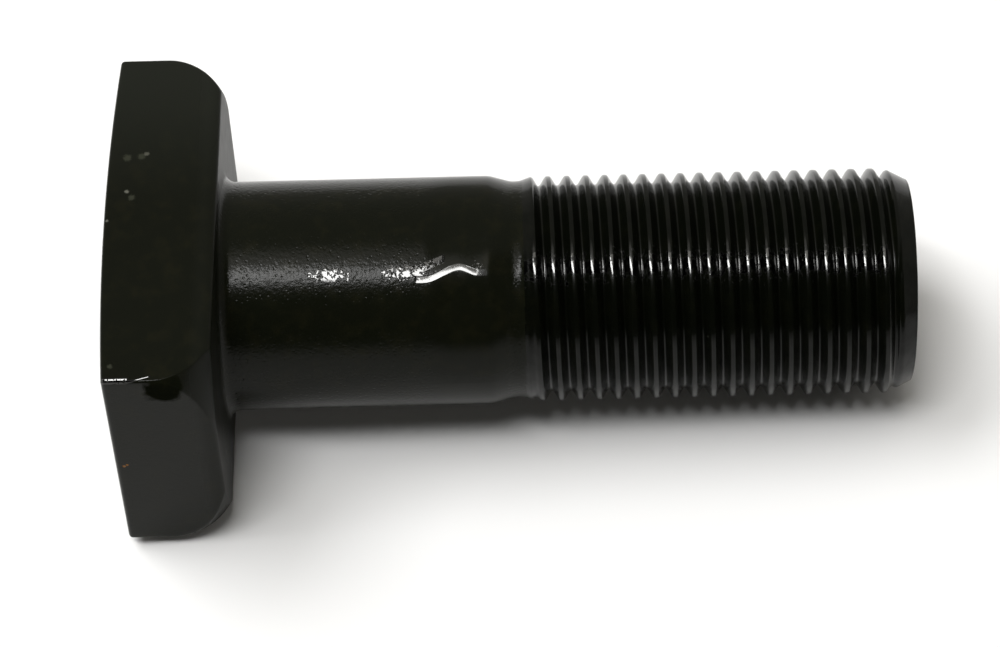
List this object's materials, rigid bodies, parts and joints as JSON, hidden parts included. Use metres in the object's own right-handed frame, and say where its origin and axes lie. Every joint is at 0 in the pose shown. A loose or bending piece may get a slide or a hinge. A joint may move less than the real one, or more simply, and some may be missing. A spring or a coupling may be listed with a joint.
{
  "type": "t-head bolt",
  "caption": "T-head bolt in black oiled steel: a crowned rectangular head with turned corners, a plain shank, a short neck and a fine right-hand thread to a tapered tip.",
  "frame": {"origin": "middle of the bearing face under the head, on the bolt's axis", "axes": "+X along the bolt's axis from the head to the tip; +Y along the head's long side; +Z square to the head's long flat, upwards as the bolt lies"},
  "size_m": [0.0627, 0.0318, 0.021],
  "materials": {
    "black_steel": "black phosphate or oxide coating with a thin, patchy oil film, semi-gloss"
  },
  "bodies": {
    "root": {"bolt": "black_steel"}
  },
  "joints": []
}
